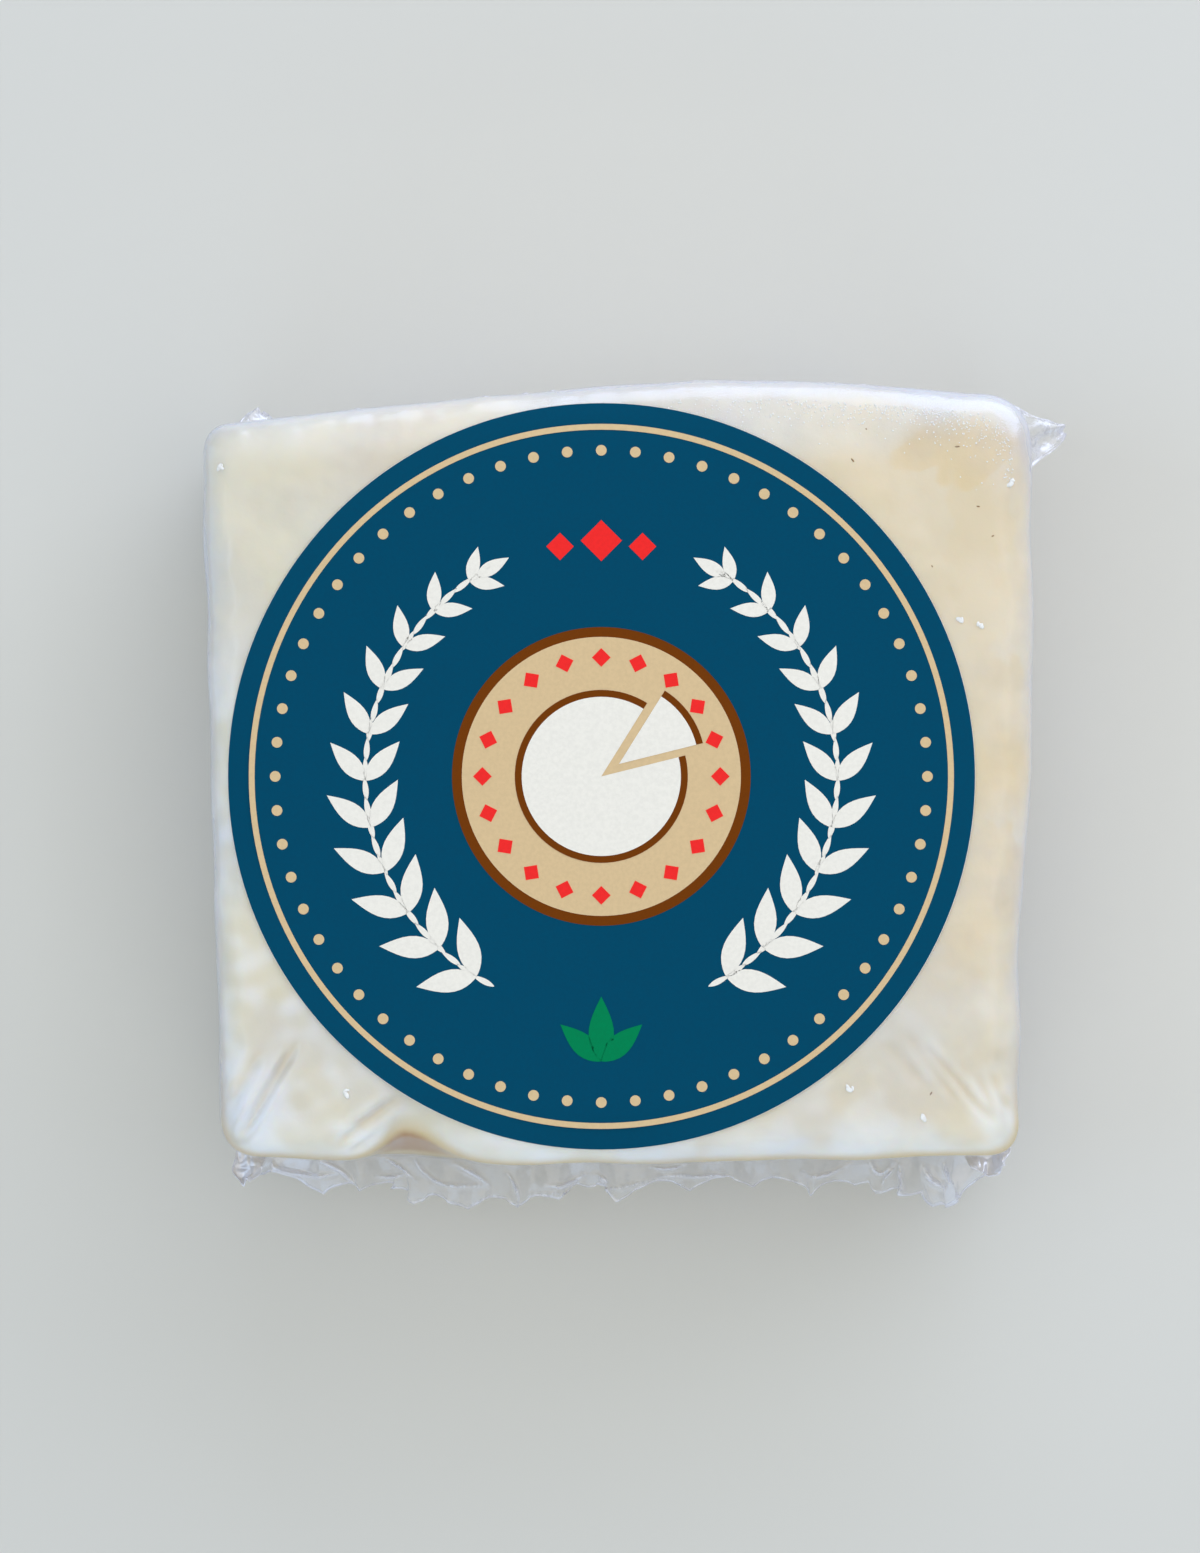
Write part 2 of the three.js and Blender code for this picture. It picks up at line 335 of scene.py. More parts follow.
def chip_share(x, y, z):
    """How much of the chip is missing at a place: all of it in the middle of the top edge."""
    return chip_across(x) * rise(z, CHIP_BOTTOM, THICKNESS) * rise(-y, -CHIP_INNER, -CHIP_OUTER)


def fit_to_block(turned, chipped):
    """Stretches a round block to the outline, with the cut face's relief and that much of the chip."""
    round_x, round_y, z = turned.T
    share = np.hypot(round_x, round_y) / HALF_SIZE
    x, y = outline_at(np.arctan2(round_y, round_x) / (2 * math.pi))
    x, y = x * share, y * share
    chip = chip_share(x, y, z) * chipped
    relief = np.where(z > THICKNESS / 2, top_relief(x, y, np.minimum(share, 1.0)), 0.0)
    return np.column_stack([x, y + CHIP_DEPTH * chip, z + relief - CHIP_DROP * chip])


# Folds pressed into the cut face near the corners: from the deeper end, to the other, half width and depth
FOLDS = [
    ((-38.4, -37.4), (-32.2, -26.8), 0.55, 0.42),
    ((-39.4, -34.0), (-36.0, -27.4), 0.55, 0.18),
    ((-26.8, -36.0), (-21.8, -32.9), 0.50, 0.34),
    ((-28.2, -37.8), (-23.2, -34.5), 0.55, 0.40),
    ((-27.3, -38.9), (-24.0, -36.5), 0.45, 0.32),
    ((38.6, -35.8), (30.4, -26.8), 0.40, 0.18),
    ((34.8, -33.4), (29.2, -26.4), 0.45, 0.12),
    ((31.6, -32.2), (26.8, -26.9), 0.60, 0.09),
    ((38.6, -35.2), (36.5, -30.2), 0.40, 0.12),
    ((39.9, -34.5), (38.1, -30.4), 0.40, 0.10),
]
FOLD_START_DEEP, FOLD_END_DEEP = 1.4, 0.8  # shares of the depth at both ends
RIDGE_SHARE = 0.6  # height of the ridges beside a fold, of its depth
RIDGE_AWAY, RIDGE_WIDE = 2.0, 1.1  # in half widths of the fold
CHEESE_FOLDS = 0.8  # how much of the film's folds shows in the cheese

# Dents and swells of the skin: how long and how high
SWELL_LONG, SWELL_HIGH = 13, 0.11
DENT_LONG, DENT_ON_SIDE, DENT_ON_FACE = 5, 0.02, 0.065
PUCKER_LONG, PUCKER_HIGH = 2.4, 0.02
SMOOTH_FOOT = 3.0  # the height up to which they fade out


def fold_parts(x, y):
    """How deep the folds are at (x, y), and how high the ridges along both sides of them stand."""
    dips = np.zeros_like(x)
    ridges = np.zeros_like(x)
    for (start_x, start_y), (end_x, end_y), half_width, deep in FOLDS:
        way = np.array([end_x - start_x, end_y - start_y])
        length = np.linalg.norm(way)
        way /= length
        along = ((x - start_x) * way[0] + (y - start_y) * way[1]) / length
        off = (x - start_x) * way[1] - (y - start_y) * way[0]
        fade = rise(along, -0.05, 0.15) * (1 - rise(along, 0.7, 1.05))
        fade = fade * mix(FOLD_START_DEEP, FOLD_END_DEEP, along)
        dips += deep * fade * bell(off / half_width)
        beside = bell((np.abs(off) - RIDGE_AWAY * half_width) / (RIDGE_WIDE * half_width))
        ridges += deep * RIDGE_SHARE * fade * beside
    return dips, ridges


def skin_lumps(places, face):
    """Gentle dents and swells of the whole skin, with finer ones where it is the cut face."""
    swells = SWELL_HIGH * ripples(places, SWELL_LONG, 1)
    dents = mix(DENT_ON_SIDE, DENT_ON_FACE, face) * ripples(places, DENT_LONG, 2)
    puckers = PUCKER_HIGH * face * ripples(places, PUCKER_LONG, 3)
    return swells + dents + puckers


def clear_of_label(x, y):
    """0 under the label, where the face lies flat, and 1 well outside it."""
    return rise(np.hypot(x - LABEL_AT[0], y - LABEL_AT[1]), LABEL_RADIUS - 0.6, LABEL_RADIUS + 2.5)


def press_in(piece, places, folds):
    """Pushes the block's skin in and out along its normals, with its underside left flat."""
    put_places(piece, places)
    normals = normals_of(piece)
    x, y, z = places.T
    face = rise(normals[:, 2], 0.5, 0.9)
    dips, ridges = fold_parts(x, y)
    out = skin_lumps(places, face) + folds * (ridges - dips) * face
    out *= rise(z, 0.0, SMOOTH_FOOT) * mix(1, clear_of_label(x, y), face)
    put_places(piece, places + normals * out[:, None])


def film_height(x, y):
    """Height of the film on the cut face, away from the folds."""
    level = top_height(x, y)
    return level + skin_lumps(np.array([[x, y, level]]), 1.0)[0] * clear_of_label(x, y) + FILM_LIFT


# Where the film lies wet on the cheese, so that it looks yellower: middle, radii and how much
MOIST_PATCHES = [
    ((35.4, 32.9), (5.2, 3.5), 1.0),
    ((31.0, 31.9), (2.8, 1.4), 1.0),
    ((26.3, 34.5), (1.5, 0.8), 0.8),
    ((37.2, 24.5), (3.5, 7.5), 0.55),
    ((38.0, 5.0), (4.0, 9.0), 0.5),
    ((38.2, -12.0), (3.6, 9.0), 0.6),
    ((-22.5, 34.4), (9.0, 1.9), 0.7),
    ((-35.8, -22.0), (2.6, 1.1), 0.8),
    ((33.0, -33.6), (4.4, 3.0), 0.6),
]


def set_amounts(piece, name, amounts):
    """Keeps one number for each vertex, for the materials to read."""
    layer = piece.data.attributes.new(name, "FLOAT", "POINT")
    layer.data.foreach_set("value", np.asarray(amounts, np.float32))


def moisture(places):
    """How wet the cheese looks: a little all over, more at the right, most in the patches, and in the folds
    as painted crease shade.
    """
    x, y, _ = places.T
    ragged = 0.17 * ripples(places, 6, 31) + 0.12 * ripples(places, 2.2, 32)
    wet = 0.22 + 0.28 * ripples(places, 15, 33) + 0.20 * rise(x, -5, 38)
    for (patch_x, patch_y), (wide, high), much in MOIST_PATCHES:
        away = np.hypot((x - patch_x) / wide, (y - patch_y) / high) + ragged
        wet = mix(wet, np.maximum(wet, much), 1 - rise(away, 0.88, 1.02))
    # The folds' share darkens their valleys: painted crease shade
    return np.clip(wet + 2.8 * fold_parts(x, y)[0], 0, 1)


def to_front_left(places):
    """0 at the back right, rising to 1 at the front left, where the light is cooler; it is painted on the
    cheese as a bluish light tint.
    """
    x, y, _ = places.T
    front = rise(-y, 4, 32) * (1 - 0.45 * rise(x, -12, 24))
    return np.clip(rise(-x, 16, 38) + front, 0, 1)


def haze_and_painted_highlight(places):
    """How white the cheese looks: in patches at the front and left, film haze and painted highlight together,
    and as painted highlight along the fold ridges and by the back rim.
    """
    x, y, _ = places.T
    patches = rise(0.7 * ripples(places, 8, 35) + 0.4 * ripples(places, 3.5, 36), -0.5, 1.1)
    patches *= to_front_left(places) * (1 - 0.85 * rise(y, 0, 20))
    to_right = rise(x, 27, 31)
    back = mix(0.5, 0.75, to_right) * rise(y - mix(0, 3.3, to_right), 30.5, 34.5)
    return np.clip(0.9 * patches + back + 1.1 * fold_parts(x, y)[1], 0, 1)


# Painted blue-white highlights on the front of the cut face: middle, radii and how much
SHEENS = [((-36.4, -35.3), (2.2, 2.6), 0.8), ((-26.2, -37.1), (1.5, 0.8), 0.6)]
# Strengths of the golden tint: painted warm shade down the front and in the folds, the cheese's own tone down
# its sides
MOST_GOLDEN, SIDES_GOLDEN, FOLDS_PAINTED_SHADE = 0.8, 0.4, 0.45


def front_sheen(places):
    """How much painted blue-white highlight the front of the cut face gets: along its rim, and most by its
    left corner.
    """
    x, y, z = places.T
    patches = 0.12 + 0.42 * rise(ripples(places, 7, 37), -0.6, 0.8)
    sheen = patches * rise(-y, 30, 36) * (1 - rise(inset_at(x, y), 2.2, 5.4))
    sheen = sheen * rise(z, THICKNESS - 2.2, THICKNESS - 1.0)
    for (middle_x, middle_y), (wide, high), much in SHEENS:
        sheen += much * np.exp(-(((x - middle_x) / wide) ** 2) - ((y - middle_y) / high) ** 2)
    return np.clip(sheen, 0, 1)


def golden_tone_and_painted_shade(places):
    """How golden the cheese looks: down its sides as its own tone, and as painted warm shade in the folds
    and, most of all, down the front.
    """
    x, y, z = places.T
    front = MOST_GOLDEN * rise(-y, 20, 38) * (1 - rise(z, THICKNESS - 2.4, THICKNESS - 1.0))
    sides = SIDES_GOLDEN * (1 - rise(z, THICKNESS - 4.5, THICKNESS - 2.4))
    return np.clip(np.maximum(front, sides) + FOLDS_PAINTED_SHADE * fold_parts(x, y)[0], 0, MOST_GOLDEN)


def steep_part(z):
    """1 on the steep lower part of the chip, fading above and below it."""
    return rise(z, 15, 20) * (1 - rise(z, 25.0, 27.4))


def make_cheese():
    cheese = raise_rings("cheese", block_rings(), AROUND)
    fitted = fit_to_block(places_of(cheese), 1.0)
    fitted[:, 2] += FILM_LIFT * (1 - rise(fitted[:, 2], 0.0, SMOOTH_FOOT))
    press_in(cheese, fitted, CHEESE_FOLDS)
    x, y, z = fitted.T
    set_amounts(cheese, "moist", moisture(fitted))
    # Painted shade in the chip's hollow, on the golden cheese of its steep lower part
    set_amounts(cheese, "chipped", chip_across(x) * rise(-y, 34, 36.5) * steep_part(z))
    # Film haze in patches, and painted highlight along the fold ridges and the back rim
    set_amounts(cheese, "haze_and_highlight", haze_and_painted_highlight(fitted))
    # Painted cooler light on the cheese's colour, strongest at the front left
    set_amounts(cheese, "painted_cool_light", to_front_left(fitted))
    # Painted blue-white highlight along the front rim
    set_amounts(cheese, "sheen", front_sheen(fitted))
    # Golden tone down the sides, and painted warm shade down the front and in the folds
    set_amounts(cheese, "golden", golden_tone_and_painted_shade(fitted))
    smooth(cheese)
    return cheese


def painted_rim_highlight(places):
    """How much painted blue-white highlight the film gets along the back rim of the cut face, most at its
    right, and along the left rim.
    """
    x, y, z = places.T
    inset = inset_at(x, y) + 0.25 * ripples(places, 2.6, 9)
    back = mix(0.16, 0.4, rise(x, -10, 34)) * rise(y, 26, 33) * (1 - rise(inset, 0.4, 3.0))
    left = 0.34 * rise(-x, 28, 36) * (1 - rise(inset, 0.0, 2.4))
    return np.maximum(back, left) * rise(z, 18, 25)


def make_film_wrap():
    film = raise_rings("film_wrap", block_rings(), AROUND)
    places = fit_to_block(places_of(film), CHIP_BRIDGED)
    press_in(film, places, 1.0)
    places = places_of(film)
    normals = normals_of(film)
    x, y, z = places.T
    side = 1 - rise(np.abs(normals[:, 2]), 0.2, 0.7)
    gather = side * bell((z - FIN_HEIGHT) / 5.0) * rise(-y, 25, 36)
    upright = np.column_stack([x, y, z * 0.22])
    pleats = 0.16 * gather * np.abs(ripples(upright, 3.2, 5))
    corner = rise(np.minimum(np.abs(x), np.abs(y)), 24, 36)
    pleats += side * rise(z, 1, 6) * (1 - rise(z, 15, 23)) * (0.05 + 0.12 * corner) * ripples(upright, 3.4, 7)
    lift = FILM_LIFT * rise(z, 0.0, 0.6) + pleats
    put_places(film, places + normals * lift[:, None])
    # A painted highlight line along the film's edge where it bridges the chip
    painted_chip_line = 0.12 * chip_across(x) * rise(-y, 35, 37)
    ragged = 0.5 * ripples(places, 2.0, 6)
    painted_chip_line *= rise(z, 14, 18) * (1 - rise(z + ragged, 24.6, 26.4))
    # Painted highlight on the film: along the back and left rims, and a line over the chip
    set_amounts(film, "veil", np.maximum(painted_chip_line, painted_rim_highlight(places)))
    frost = rise(y, 28, 36) * (0.2 + 0.8 * rise(x, 0, 32)) * rise(z, 25, 27)
    set_amounts(film, "frost", frost * rise(0.5 * ripples(places, 6.0, 8) + 0.7, 0.0, 0.9))
    set_amounts(film, "cling", rise(-y, 33, 37.5) * rise(z, 14, 20))
    smooth(film)
    return film


def fin_reach(x):
    """How far the fin reaches out: straight from tip to tip, less a sag between them."""
    tip_x, tip_reach = np.array(FIN_TIPS).T
    after = np.clip(np.searchsorted(tip_x, x), 1, len(tip_x) - 1)
    gap = tip_x[after] - tip_x[after - 1]
    along = np.clip((x - tip_x[after - 1]) / gap, 0, 1)
    sag = np.minimum(FIN_SAG_SHARE * gap, FIN_SAG_MOST)
    return mix(tip_reach[after - 1], tip_reach[after], along) - sag * np.sin(math.pi * along)


# Arcs along which the fin is folded over itself: start, bend and end
FIN_ARCS = [
    ((-24.4, -41.0), (-22.6, -41.6), (-21.4, -43.2)),
    ((-21.3, -41.0), (-19.8, -44.3), (-13.7, -43.8)),
    ((-17.1, -41.4), (-15.4, -42.2), (-13.7, -43.8)),
    ((-25.5, -42.8), (-23.8, -43.2), (-22.4, -42.6)),
    ((-11.7, -42.6), (-10.6, -43.4), (-10.5, -45.6)),
    ((-7.3, -43.8), (-5.2, -44.2), (-3.4, -42.8)),
    ((-8.8, -44.7), (-1.0, -44.9), (4.8, -43.0)),
    ((4.8, -43.0), (9.0, -42.7), (12.0, -42.8)),
    ((-2.3, -42.8), (-1.6, -43.1), (-0.9, -43.8)),
    ((4.0, -41.8), (5.8, -42.4), (7.2, -41.6)),
    ((19.7, -42.4), (22.2, -43.4), (24.5, -41.6)),
    ((27.0, -41.4), (28.2, -43.6), (29.6, -41.4)),
    ((28.7, -43.6), (29.2, -42.4), (29.7, -41.8)),
    ((30.2, -41.6), (30.4, -43.4), (31.2, -44.6)),
    ((32.6, -41.9), (32.8, -43.6), (34.4, -44.0)),
    ((34.6, -41.6), (34.8, -43.0), (35.5, -43.6)),
    ((-36.2, -41.4), (-33.6, -43.4), (-30.2, -42.6)),
    ((-31.4, -41.2), (-29.8, -42.0), (-28.0, -44.0)),
]

# Where the fin's plies cling and look white, and where its edge is frilled: place, width and how much
FIN_HAZE = [(-34.0, 4.0, 0.45), (36.2, 2.2, 0.4)]
FIN_FRILLS = [(-21.6, 2.2, 0.9), (-12.0, 1.4, 0.7), (-3.2, 2.0, 0.4), (31.6, 3.2, 1.2), (36.4, 1.6, 0.6)]


def arc_nearness(x, y, start, bend, end, half_width):
    """1 along an arc, falling away to both sides of it, and fading at its ends."""
    t = np.linspace(0, 1, 25)[:, None]
    start, bend, end = (np.array(p) for p in (start, bend, end))
    path = start * (1 - t) ** 2 + bend * 2 * t * (1 - t) + end * t**2
    away = np.hypot(x[:, None] - path[:, 0], y[:, None] - path[:, 1])
    nearest = away.argmin(1)
    fade = np.sin(math.pi * np.clip(t[nearest, 0], 0.06, 0.94)) ** 0.5
    return fade * bell(away.min(1) / half_width)


def make_front_fin():
    """The film's sealed end: two plies that part at the root, fold over themselves and frill at the edge."""
    fin = two_plies("film_front_fin", *FIN_GRID)
    along, out, ply = places_of(fin).T
    x = mix(FIN_TIPS[0][0], FIN_TIPS[-1][0], along)
    in_line = np.column_stack([x, 0 * x, 0 * x])
    flat = np.column_stack([x, out * 3, 0 * x])
    frill = 0.35 + sum(much * bell((x - at) / wide) for at, wide, much in FIN_FRILLS)
    reach = fin_reach(x) + 0.22 * frill * ripples(in_line, 1.5, 16)
    y = side_at(x, -1) + FIN_SINK - out * (reach + FIN_SINK)
    ruffle = 0.9 * np.sin(2 * math.pi * x / 9.6 + 0.6) + 0.4 * np.sin(2 * math.pi * x / 4.4 + 1.9)
    ruffle += 0.4 * ripples(flat, 3.0, 11)
    gap = mix(FIN_FLARE, FIN_PLY, rise(out, 0.15, 0.5)) + 0.11 * rise(out, 0.94, 0.985)
    z = FIN_HEIGHT - FIN_DROOP * out**2 + out * ruffle + 0.7 * frill * out**5 * ripples(flat, 1.7, 17)
    fold = np.zeros_like(x)
    for number, (start, bend, end) in enumerate(FIN_ARCS):
        fold = np.maximum(fold, arc_nearness(x, y, start, bend, end, 0.2 + 0.06 * (number % 3)))
    z = z + 0.75 * fold + (ply * 2 - 1) * gap
    x = x + 0.7 * out**2 * ripples(in_line, 5.0, 13) + 0.4 * frill * out**4 * ripples(flat, 1.5, 18)
    put_places(fin, np.column_stack([x, y, z]))
    hazy = sum(much * bell((x - at) / wide) for at, wide, much in FIN_HAZE)
    set_amounts(fin, "veil", 0.25 + hazy + 0.75 * fold + 0.6 * rise(out, 0.94, 0.985))
    turn_outwards(fin)
    smooth(fin, 60)
    return fin


def make_back_crimp():
    """The other sealed end, folded down on the back side."""
    crimp = two_plies("film_back_crimp", *CRIMP_GRID)
    along, out, ply = places_of(crimp).T
    x = mix(CRIMP_LEFT, CRIMP_RIGHT, along)
    wave = CRIMP_WAVE * np.sin(2 * math.pi * x / CRIMP_LENGTH) + 0.12 * ripples(
        np.column_stack([x, out, 0 * x]), 1.8, 14
    )
    y = side_at(x, 1) - FIN_SINK + out * (CRIMP_REACH + FIN_SINK + wave)
    gap = mix(0.7, FIN_PLY, rise(out, 0.4, 0.9))
    z = CRIMP_HEIGHT - CRIMP_DROOP * out**2 + out * wave + (ply * 2 - 1) * gap
    put_places(crimp, np.column_stack([x, y, z]))
    set_amounts(crimp, "veil", 0.3 + 0.5 * rise(out, 0.9, 1.0))
    turn_outwards(crimp)
    smooth(crimp, 50)
    return crimp


# The bag's corners, left standing as ears: root, bend, tip, widths at both ends, curl and whiteness
EARS = {
    "film_ear_back_right": (
        (40.4, 35.0, 13.6), (43.9, 34.9, 13.8), (47.2, 36.2, 12.0), (8.0, 2.8), 0.5, 0.6,
    ),
    "film_ear_back_left": (
        (-37.9, 34.2, 13.4), (-37.9, 37.0, 13.0), (-37.6, 38.1, 12.2), (5.2, 2.8), 0.4, 0.9,
    ),
    "film_ear_front_left": (
        (-37.4, -37.4, 11.4), (-39.2, -41.0, 11.8), (-38.9, -43.0, 14.0), (3.8, 2.6), 0.9, 1.4,
    ),
    "film_ear_front_right": (
        (37.6, -37.2, 11.4), (39.2, -39.8, 11.6), (40.4, -42.0, 13.4), (5.0, 4.6), 0.9, 1.7,
    ),
}


def make_ear(name, root, bend, tip, widths, curl, white, seed):
    """A crumpled corner of the bag: two plies along a bent line, pinched shut at the rim."""
    ear = two_plies(name, *EAR_GRID)
    across, out, ply = places_of(ear).T
    root, bend, tip = (np.array(p) for p in (root, bend, tip))
    t = out[:, None]
    middle = root * (1 - t) ** 2 + bend * 2 * t * (1 - t) + tip * t**2
    heading = (bend - root) * 2 * (1 - t) + (tip - bend) * 2 * t
    heading /= np.linalg.norm(heading, axis=1)[:, None]
    sideways = np.cross(heading, (0, 0, 1))
    sideways /= np.linalg.norm(sideways, axis=1)[:, None]
    face = np.cross(sideways, heading)
    long = np.linalg.norm(tip - root)
    width = mix(widths[0], widths[1], rise(out, 0, 1)) * (1 - 0.7 * out**8)
    flat = np.column_stack([(across - 0.5) * width, out * long, 0 * out])
    edge = np.maximum(np.abs(across - 0.5) * 2, out)
    wave = 0.45 * out * np.sin(across * 2 * math.pi)
    wave += curl * rise(out, 0.1, 0.6) * 0.5 * ripples(flat, 3.2, seed)
    wave += 0.12 * curl * rise(out, 0.1, 0.5) * np.abs(ripples(flat, 1.2, seed + 40))
    gap = mix(0.8, FIN_PLY, rise(out, 0.2, 0.7)) * (0.35 + 0.65 * np.sin(math.pi * across))
    gap += 0.10 * rise(edge, 0.88, 0.96)
    lift = wave + (ply * 2 - 1) * gap
    sway = (across - 0.5) * width + 0.35 * curl * out**2 * ripples(flat, 2.2, seed + 60)
    put_places(ear, middle + sideways * sway[:, None] + face * lift[:, None])
    set_amounts(ear, "veil", white + 0.6 * rise(edge, 0.88, 0.96) + 0.35 * ripples(flat, 1.6, seed + 80))
    turn_outwards(ear)
    smooth(ear, 60)
    return ear


# Small things under the film: white bubbles that are partly painted glints, and flecks in the cheese

GLINTS = [
    (40.2, 29.6), (23.6, -32.2), (31.1, -35.2), (-40.4, 31.2), (-27.5, -32.5), (35.0, 15.5), (37.0, 15.1),
]
FLECKS = [
    (34.7, 33.2), (24.0, 31.8), (32.0, -32.7), (36.8, 27.1), (38.3, 24.1), (32.1, 21.0), (25.4, 35.0),
]
FROST_BUBBLES, FROST_INNER, FROST_OUTER = 700, 0.80, 0.95  # how many, and shares of the outline between them
BUBBLE_LEAST, BUBBLE_MOST = 0.035, 0.08
GLINT_SIZES = (0.34, 0.24, 0.2, 0.16)


def small_round(name, steps):
    deselect()
    bpy.ops.mesh.primitive_ico_sphere_add(subdivisions=steps, radius=MM)
    return named(name)


def scatter(piece, spots, sink, seed):
    """Copies a small round to spots on the film, each an x, a y and three radii, and joins the copies."""
    ball = places_of(piece)
    draw = np.random.default_rng(seed)
    placed = []
    for x, y, radii in spots:
        turn = draw.uniform(0, math.pi)
        local = ball * radii
        across = local[:, 0] * math.cos(turn) - local[:, 1] * math.sin(turn)
        back = local[:, 0] * math.sin(turn) + local[:, 1] * math.cos(turn)
        placed.append(np.column_stack([across + x, back + y, local[:, 2] + film_height(x, y) - sink]))
    copies = [piece]
    for _ in spots[1:]:
        copies.append(piece.copy())
        copies[-1].data = piece.data.copy()
        bpy.context.collection.objects.link(copies[-1])
    for copy, places in zip(copies, placed):
        put_places(copy, places)
    deselect()
    for copy in copies:
        copy.select_set(True)
    bpy.context.view_layer.objects.active = piece
    bpy.ops.object.join()
    smooth(piece)
    return piece


def frosty_spots():
    """Tiny bubbles along the back edge, thickest at its right corner, and a few white spots elsewhere as
    painted glints.
    """
    draw = np.random.default_rng(51)
    spots = []
    while len(spots) < FROST_BUBBLES:
        turn = draw.uniform(0.0, 1.0)
        share = 0.955 - draw.gamma(1.8, 0.016)
        x, y = (float(v[0]) * share for v in outline_at(np.array([turn])))
        thick = rise(y, 26, 37) * rise(x, -14, 32) ** 2
        if share < FROST_INNER or share > FROST_OUTER or draw.uniform() > thick:
            continue
        size = draw.uniform(BUBBLE_LEAST, BUBBLE_MOST)
        spots.append((x, y, (size * draw.uniform(1.0, 1.6), size, size * 0.35)))
    for x, y in GLINTS:
        for size in GLINT_SIZES:
            aside, back = draw.normal(0, 0.16, 2)
            spots.append((x + aside, y + back, (size * draw.uniform(1.0, 1.5), size * 0.7, 0.05)))
    return spots


def make_bubbles():
    return scatter(small_round("film_bubbles", 2), frosty_spots(), 0.0, 52)


def make_flecks():
    spots = [(x, y, (0.28 - 0.03 * i, 0.09 - 0.005 * i, 0.05)) for i, (x, y) in enumerate(FLECKS)]
    return scatter(small_round("cheese_flecks", 2), spots, FILM_LIFT, 53)


# Materials

def new_material(name):
    material = bpy.data.materials.new(name)
    material.use_nodes = True
    tree = material.node_tree
    tree.nodes.clear()
    return material, tree


def add_node(tree, kind, **settings):
    """A shader node with attributes set by name, and input values set by socket name in values."""
    node = tree.nodes.new(kind)
    for socket, value in settings.pop("values", {}).items():
        node.inputs[socket].default_value = value
    for key, value in settings.items():
        setattr(node, key, value)
    return node


def noise(tree, coords, scale, detail=3.0, roughness=0.5):
    node = add_node(tree, "ShaderNodeTexNoise", values={
        "Scale": scale, "Detail": detail, "Roughness": roughness,
    })
    tree.links.new(coords, node.inputs["Vector"])
    return node.outputs["Fac"]


def span(tree, value, low, high, to_low, to_high):
    node = add_node(tree, "ShaderNodeMapRange", interpolation_type="SMOOTHSTEP")
    for socket, number in zip(("From Min", "From Max", "To Min", "To Max"), (low, high, to_low, to_high)):
        node.inputs[socket].default_value = number
    tree.links.new(value, node.inputs["Value"])
    return node.outputs["Result"]


def blend_colours(tree, share, a, b):
    node = add_node(tree, "ShaderNodeMix", data_type="RGBA")
    tree.links.new(share, node.inputs[0])
    for socket, colour in ((node.inputs[6], a), (node.inputs[7], b)):
        if isinstance(colour, bpy.types.NodeSocket):
            tree.links.new(colour, socket)
        else:
            socket.default_value = colour
    return node.outputs[2]


def srgb(red, green, blue):
    """A screen colour, 0 to 255, as Blender's linear colour."""
    def linear(v):
        v /= 255
        return v / 12.92 if v <= 0.04045 else ((v + 0.055) / 1.055) ** 2.4
    return (linear(red), linear(green), linear(blue), 1.0)


def object_coords(tree):
    return add_node(tree, "ShaderNodeTexCoord").outputs["Object"]


def bumped(tree, height, distance, strength=1.0):
    node = add_node(tree, "ShaderNodeBump", values={"Distance": distance, "Strength": strength})
    tree.links.new(height, node.inputs["Height"])
    return node.outputs["Normal"]


def finish_with(tree, shader):
    output = add_node(tree, "ShaderNodeOutputMaterial")
    tree.links.new(shader, output.inputs["Surface"])


def amount(tree, name):
    return add_node(tree, "ShaderNodeAttribute", attribute_name=name).outputs["Fac"]


def cheese_material():
    material, tree = new_material("cheddar")
    coords = object_coords(tree)
    grain = noise(tree, coords, 420, 4, 0.6)
    cloud = span(tree, noise(tree, coords, 150, 3, 0.55), 0.35, 0.65, 0.0, 1.0)
    hazy = blend_colours(tree, cloud, srgb(234, 222, 202), srgb(240, 229, 211))
    moist = blend_colours(tree, cloud, srgb(236, 215, 175), srgb(239, 219, 185))
    colour = blend_colours(tree, amount(tree, "moist"), hazy, moist)
    tints = [
        # painted cooler light, strongest at the front left
        (span(tree, amount(tree, "painted_cool_light"), 0, 1, 0, 0.7), srgb(231, 226, 207)),
        # film haze, and painted highlight on the fold ridges and back rim
        (amount(tree, "haze_and_highlight"), srgb(247, 244, 240)),
        # painted blue-white highlight along the front rim
        (amount(tree, "sheen"), srgb(246, 249, 253)),
        # golden tone down the sides; painted warm shade down the front and in the folds
        (amount(tree, "golden"), srgb(218, 188, 112)),
        # the chip's steep part: golden cheese darkened by painted shade
        (span(tree, amount(tree, "chipped"), 0.2, 0.9, 0, 0.95), srgb(178, 122, 22)),
    ]
    for share, tint in tints:
        colour = blend_colours(tree, share, colour, tint)
    body = add_node(tree, "ShaderNodeBsdfPrincipled", values={
        "Subsurface Weight": 0.35, "Subsurface Radius": (1.0, 0.7, 0.38), "Subsurface Scale": 0.003,
        "Coat Weight": 1.0, "Coat Roughness": 0.26, "Coat IOR": 1.6,
    })
    tree.links.new(colour, body.inputs["Base Color"])
    tree.links.new(span(tree, grain, 0.3, 0.7, 0.42, 0.55), body.inputs["Roughness"])
    tree.links.new(bumped(tree, grain, 0.00012, 0.5), body.inputs["Normal"])
    finish_with(tree, body.outputs["BSDF"])
    return material


